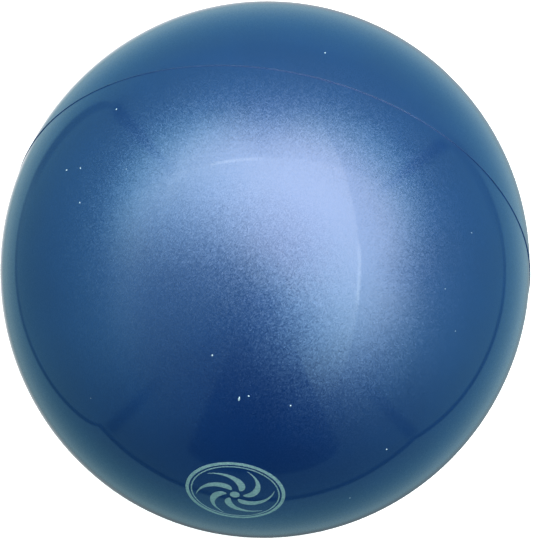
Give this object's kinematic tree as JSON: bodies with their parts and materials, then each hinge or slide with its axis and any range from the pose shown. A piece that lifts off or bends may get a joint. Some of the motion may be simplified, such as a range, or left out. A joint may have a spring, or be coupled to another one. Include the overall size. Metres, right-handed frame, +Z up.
{
  "type": "rhythmic gymnastics ball",
  "caption": "Hollow moulded gymnastics ball in glossy pearl rubber, with a raised seam flash, a printed round stamp and a needle valve closed by a pull-out plug.",
  "frame": {"origin": "centre of the ball", "axes": "+Y along the pole line, from the printed pole to the valve; the seam lies in the XZ plane; +Z up"},
  "size_m": [0.1642, 0.1673, 0.1642],
  "materials": {
    "pearl_shell": "gloss",
    "valve_rubber": "satin",
    "core_rubber": "matte",
    "plug_plastic": "satin",
    "stamp_ink": "satin"
  },
  "bodies": {
    "ball": {"front_shell": "pearl_shell", "rear_shell": "pearl_shell", "valve_housing": "valve_rubber", "valve_core": "core_rubber"},
    "plug": {"valve_plug": "plug_plastic"}
  },
  "joints": [
    {"name": "plug_pull", "type": "slide", "parent": "ball", "child": "plug", "axis": [0, 1, 0], "range_m": [0, 0.06]}
  ]
}
